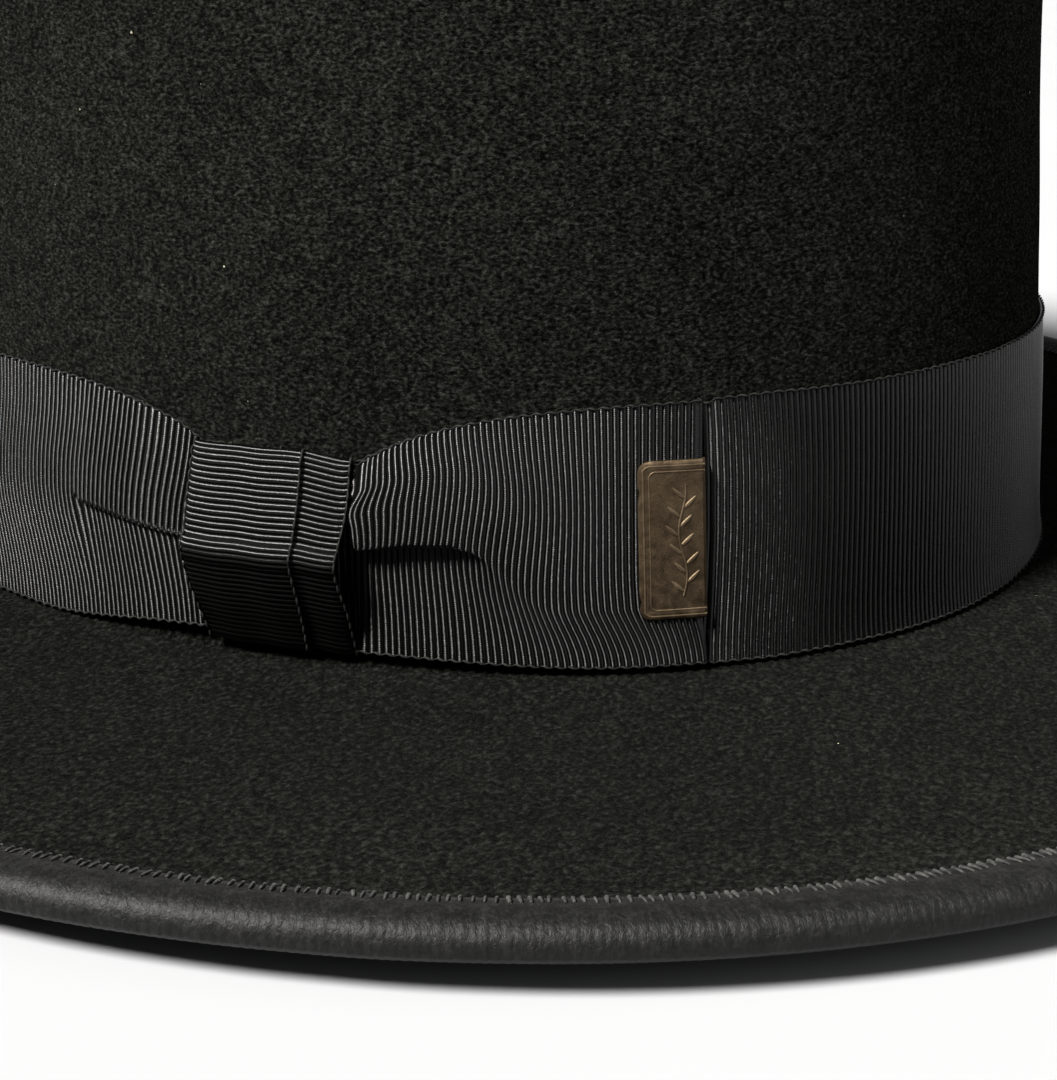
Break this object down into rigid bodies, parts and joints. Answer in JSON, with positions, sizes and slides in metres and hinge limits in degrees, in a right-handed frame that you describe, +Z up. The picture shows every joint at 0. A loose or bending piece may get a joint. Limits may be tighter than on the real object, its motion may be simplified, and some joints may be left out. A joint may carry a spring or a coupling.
{
  "type": "top hat",
  "caption": "Felt top hat with a tall oval crown, bound brim, grosgrain band, flat side bow with a metal tag, leather sweatband and satin lining.",
  "frame": {"origin": "on the plane that the brim rests on, under the middle of the crown and brim", "axes": "+Z up out of the crown's tip, -Y the front of the hat, +X the wearer's left, where the bow sits"},
  "size_m": [0.2974, 0.3306, 0.142],
  "materials": {
    "felt": "brushed black fur felt, matte, fine nap",
    "ribbon": "black grosgrain, soft silky sheen on the ribs",
    "antique_brass": "dark antique brass, worn on its raised edges",
    "leather": "dark brown smooth leather, satin",
    "reed": "natural translucent plastic",
    "tape": "black cotton tape",
    "satin": "black satin lining",
    "paper": "plain paper"
  },
  "bodies": {
    "root": {"felt_body": "felt", "brim_binding": "ribbon", "hat_band": "ribbon", "bow_front_loop": "ribbon", "bow_rear_loop": "ribbon", "bow_knot": "ribbon", "metal_tag": "antique_brass", "sweatband": "leather", "sweatband_reed": "reed", "reed_tape": "tape", "sweatband_bow": "satin", "lining_side": "satin", "lining_tip": "satin", "size_ticket": "paper"}
  },
  "joints": []
}
